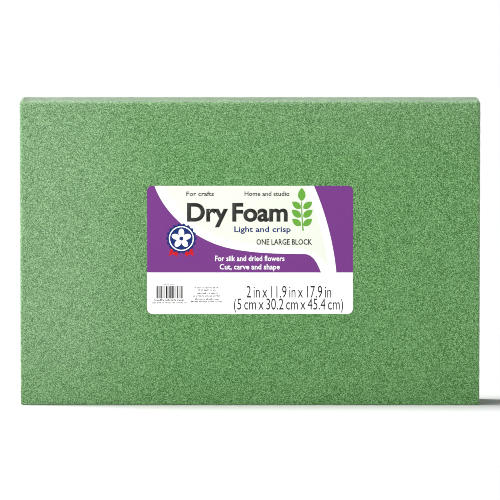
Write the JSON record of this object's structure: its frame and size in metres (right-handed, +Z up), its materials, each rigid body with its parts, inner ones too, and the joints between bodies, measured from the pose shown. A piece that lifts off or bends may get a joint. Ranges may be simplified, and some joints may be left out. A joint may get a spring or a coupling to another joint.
{
  "type": "floral foam block",
  "caption": "Rectangular slab of green dry foam for arranging flowers, standing on its long edge, with a round-cornered paper label stuck to its front.",
  "frame": {"origin": "middle of the base, on the surface that the block stands on", "axes": "+X along the block's length, to the right seen from the labelled front; +Y from the labelled front to the back, through the thickness; +Z up"},
  "size_m": [0.454, 0.0501, 0.302],
  "materials": {
    "foam": "matt cut foam with open cells about 1 mm across",
    "adhesive": "clear pressure-sensitive adhesive",
    "label": "coated white paper printed in purple, pale green and dark grey, satin"
  },
  "bodies": {
    "root": {"foam_block": "foam", "label_adhesive": "adhesive", "label_paper": "label"}
  },
  "joints": []
}
